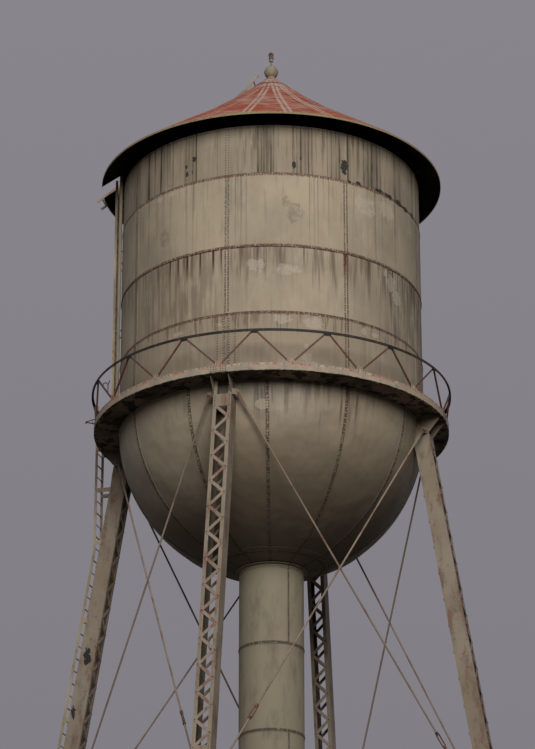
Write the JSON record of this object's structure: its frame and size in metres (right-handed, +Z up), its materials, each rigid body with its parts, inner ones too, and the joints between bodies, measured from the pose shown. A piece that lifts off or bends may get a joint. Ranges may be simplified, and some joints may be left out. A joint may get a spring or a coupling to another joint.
{
  "type": "elevated riveted water tank",
  "caption": "Riveted steel water tank with a conical roof, rounded bowl and balcony, held up by laced legs with tie rods, and filled by a central riser pipe.",
  "frame": {"origin": "on the tank's vertical axis at ground level", "axes": "+Z up; the tower's faces look along X and Y, so the legs stand on the diagonals"},
  "size_m": [12.2506, 12.2506, 37.45],
  "materials": {
    "tank_paint": "weathered matte paint with rust",
    "roof_paint": "faded matte paint with rust",
    "leg_paint": "weathered matte paint with rust",
    "rusty_steel": "rusted paint",
    "dark_steel": "dark weathered paint",
    "lamp": "weathered satin"
  },
  "bodies": {
    "root": {"shell_course_1": "tank_paint", "shell_course_2": "tank_paint", "shell_course_3": "tank_paint", "shell_course_4": "tank_paint", "bowl": "tank_paint", "bowl_dish": "tank_paint", "roof": "roof_paint", "roof_cap": "roof_paint", "roof_frame": "dark_steel", "finial": "tank_paint", "top_lamp": "lamp", "balcony_floor": "dark_steel", "balcony_girder": "tank_paint", "handrail": "dark_steel", "shell_ladder": "tank_paint", "roof_ladder": "tank_paint", "overflow_pipe": "tank_paint", "riser_upper": "tank_paint", "riser_lower": "tank_paint", "leg_ladder": "tank_paint", "leg_east": "leg_paint", "leg_north": "leg_paint", "leg_west": "leg_paint", "leg_south": "leg_paint", "strut_front_1": "leg_paint", "strut_front_2": "leg_paint", "rod_front_1a": "rusty_steel", "rod_front_1b": "rusty_steel", "rod_front_2a": "rusty_steel", "rod_front_2b": "rusty_steel", "rod_front_3a": "rusty_steel", "rod_front_3b": "rusty_steel", "strut_right_1": "leg_paint", "strut_right_2": "leg_paint", "rod_right_1a": "rusty_steel", "rod_right_1b": "rusty_steel", "rod_right_2a": "rusty_steel", "rod_right_2b": "rusty_steel", "rod_right_3a": "rusty_steel", "rod_right_3b": "rusty_steel", "strut_back_1": "leg_paint", "strut_back_2": "leg_paint", "rod_back_1a": "rusty_steel", "rod_back_1b": "rusty_steel", "rod_back_2a": "rusty_steel", "rod_back_2b": "rusty_steel", "rod_back_3a": "rusty_steel", "rod_back_3b": "rusty_steel", "strut_left_1": "leg_paint", "strut_left_2": "leg_paint", "rod_left_1a": "rusty_steel", "rod_left_1b": "rusty_steel", "rod_left_2a": "rusty_steel", "rod_left_2b": "rusty_steel", "rod_left_3a": "rusty_steel", "rod_left_3b": "rusty_steel"}
  },
  "joints": []
}
